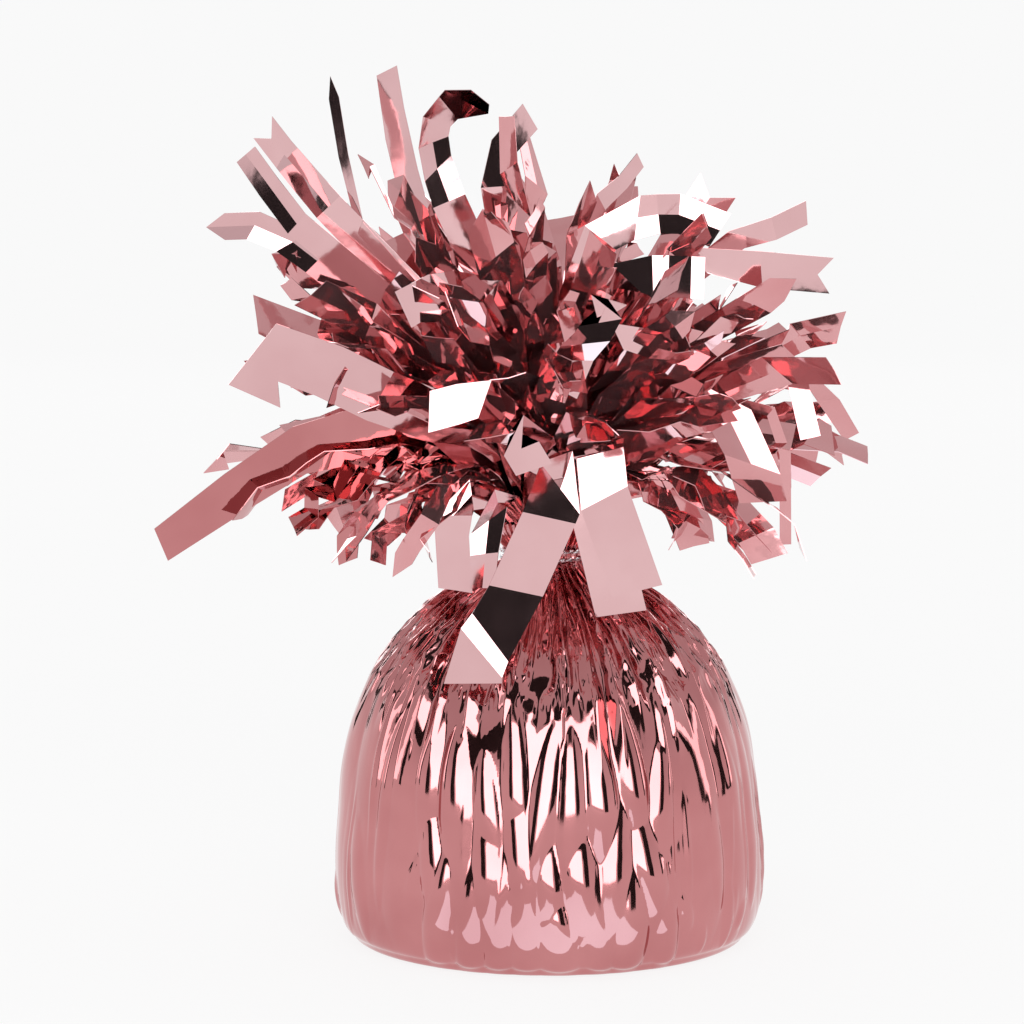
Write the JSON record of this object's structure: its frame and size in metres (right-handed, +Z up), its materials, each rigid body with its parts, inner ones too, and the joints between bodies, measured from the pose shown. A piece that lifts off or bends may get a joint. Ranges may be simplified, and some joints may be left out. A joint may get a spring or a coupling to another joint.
{
  "type": "balloon weight",
  "caption": "Foil-wrapped balloon weight: a pleated rose-gold bag over a cast plug, tied at the neck below a burst of slit film strips; it holds balloon ribbons down.",
  "frame": {"origin": "middle of the flat base on the surface it stands on", "axes": "+Z up through the neck; -Y is the front with the two hanging streamers; +X is to the right seen from the front"},
  "size_m": [0.1121, 0.0858, 0.1383],
  "materials": {
    "rose_film": "metallised polyester film, mirror-like and crinkled",
    "plaster": "cast plaster, matt",
    "silver_wire": "bright silver wire"
  },
  "bodies": {
    "weight": {"ballast_core": "plaster", "crown_strip_01": "rose_film", "crown_strip_02": "rose_film", "crown_strip_03": "rose_film", "crown_strip_04": "rose_film", "crown_strip_05": "rose_film", "foil_wrap": "rose_film", "high_strip_01": "rose_film", "high_strip_02": "rose_film", "high_strip_03": "rose_film", "high_strip_04": "rose_film", "high_strip_05": "rose_film", "high_strip_06": "rose_film", "high_strip_07": "rose_film", "high_strip_08": "rose_film", "high_strip_09": "rose_film", "low_strip_01": "rose_film", "low_strip_02": "rose_film", "low_strip_03": "rose_film", "low_strip_04": "rose_film", "low_strip_05": "rose_film", "low_strip_06": "rose_film", "low_strip_07": "rose_film", "low_strip_08": "rose_film", "low_strip_09": "rose_film", "low_strip_10": "rose_film", "low_strip_11": "rose_film", "low_strip_12": "rose_film", "low_strip_13": "rose_film", "mid_strip_01": "rose_film", "mid_strip_02": "rose_film", "mid_strip_03": "rose_film", "mid_strip_04": "rose_film", "mid_strip_05": "rose_film", "mid_strip_06": "rose_film", "mid_strip_07": "rose_film", "mid_strip_08": "rose_film", "mid_strip_09": "rose_film", "mid_strip_10": "rose_film", "mid_strip_11": "rose_film", "neck_gather": "rose_film", "neck_tie": "silver_wire"},
    "skirt_strip_01": {"skirt_strip_01": "rose_film"},
    "skirt_strip_02": {"skirt_strip_02": "rose_film"},
    "skirt_strip_03": {"skirt_strip_03": "rose_film"},
    "skirt_strip_04": {"skirt_strip_04": "rose_film"},
    "skirt_strip_05": {"skirt_strip_05": "rose_film"},
    "skirt_strip_06": {"skirt_strip_06": "rose_film"},
    "skirt_strip_07": {"skirt_strip_07": "rose_film"},
    "skirt_strip_08": {"skirt_strip_08": "rose_film"},
    "skirt_strip_09": {"skirt_strip_09": "rose_film"},
    "skirt_strip_10": {"skirt_strip_10": "rose_film"},
    "skirt_strip_11": {"skirt_strip_11": "rose_film"},
    "skirt_strip_12": {"skirt_strip_12": "rose_film"},
    "skirt_strip_13": {"skirt_strip_13": "rose_film"}
  },
  "joints": [
    {"name": "skirt_strip_01_flex", "type": "hinge", "parent": "weight", "child": "skirt_strip_01", "pos_m": [0.00852, -0.0012, 0.06645], "axis": [0.1392, 0.9903, 0], "range_deg": [-3, 30], "stiffness_Nm_per_rad": 0.004},
    {"name": "skirt_strip_02_flex", "type": "hinge", "parent": "weight", "child": "skirt_strip_02", "pos_m": [0.00818, 0.00266, 0.06645], "axis": [-0.309, 0.9511, 0], "range_deg": [-3, 30], "stiffness_Nm_per_rad": 0.004},
    {"name": "skirt_strip_03_flex", "type": "hinge", "parent": "weight", "child": "skirt_strip_03", "pos_m": [0.00619, 0.00597, 0.06645], "axis": [-0.6947, 0.7193, 0], "range_deg": [-3, 30], "stiffness_Nm_per_rad": 0.004},
    {"name": "skirt_strip_04_flex", "type": "hinge", "parent": "weight", "child": "skirt_strip_04", "pos_m": [0.00294, 0.00808, 0.06645], "axis": [-0.9397, 0.342, 0], "range_deg": [-3, 30], "stiffness_Nm_per_rad": 0.004},
    {"name": "skirt_strip_05_flex", "type": "hinge", "parent": "weight", "child": "skirt_strip_05", "pos_m": [-0.0009, 0.00855, 0.06645], "axis": [-0.9945, -0.1045, 0], "range_deg": [-3, 30], "stiffness_Nm_per_rad": 0.004},
    {"name": "skirt_strip_06_flex", "type": "hinge", "parent": "weight", "child": "skirt_strip_06", "pos_m": [-0.00456, 0.00729, 0.06645], "axis": [-0.848, -0.5299, 0], "range_deg": [-3, 30], "stiffness_Nm_per_rad": 0.004},
    {"name": "skirt_strip_07_flex", "type": "hinge", "parent": "weight", "child": "skirt_strip_07", "pos_m": [-0.00729, 0.00456, 0.06645], "axis": [-0.5299, -0.848, 0], "range_deg": [-3, 30], "stiffness_Nm_per_rad": 0.004},
    {"name": "skirt_strip_08_flex", "type": "hinge", "parent": "weight", "child": "skirt_strip_08", "pos_m": [-0.00852, 0.0012, 0.06645], "axis": [-0.1392, -0.9903, 0], "range_deg": [-3, 30], "stiffness_Nm_per_rad": 0.004},
    {"name": "skirt_strip_09_flex", "type": "hinge", "parent": "weight", "child": "skirt_strip_09", "pos_m": [-0.00831, -0.00223, 0.06645], "axis": [0.2588, -0.9659, 0], "range_deg": [-3, 30], "stiffness_Nm_per_rad": 0.004},
    {"name": "skirt_strip_10_flex", "type": "hinge", "parent": "weight", "child": "skirt_strip_10", "pos_m": [-0.00668, -0.00541, 0.06645], "axis": [0.6293, -0.7771, 0], "range_deg": [-3, 30], "stiffness_Nm_per_rad": 0.004},
    {"name": "skirt_strip_11_flex", "type": "hinge", "parent": "weight", "child": "skirt_strip_11", "pos_m": [-0.00294, -0.00808, 0.06645], "axis": [0.9397, -0.342, 0], "range_deg": [-20, 0], "stiffness_Nm_per_rad": 0.004},
    {"name": "skirt_strip_12_flex", "type": "hinge", "parent": "weight", "child": "skirt_strip_12", "pos_m": [0.0039, -0.00766, 0.06645], "axis": [0.891, 0.454, 0], "range_deg": [-20, 0], "stiffness_Nm_per_rad": 0.004},
    {"name": "skirt_strip_13_flex", "type": "hinge", "parent": "weight", "child": "skirt_strip_13", "pos_m": [0.00729, -0.00456, 0.06645], "axis": [0.5299, 0.848, 0], "range_deg": [-3, 30], "stiffness_Nm_per_rad": 0.004}
  ]
}
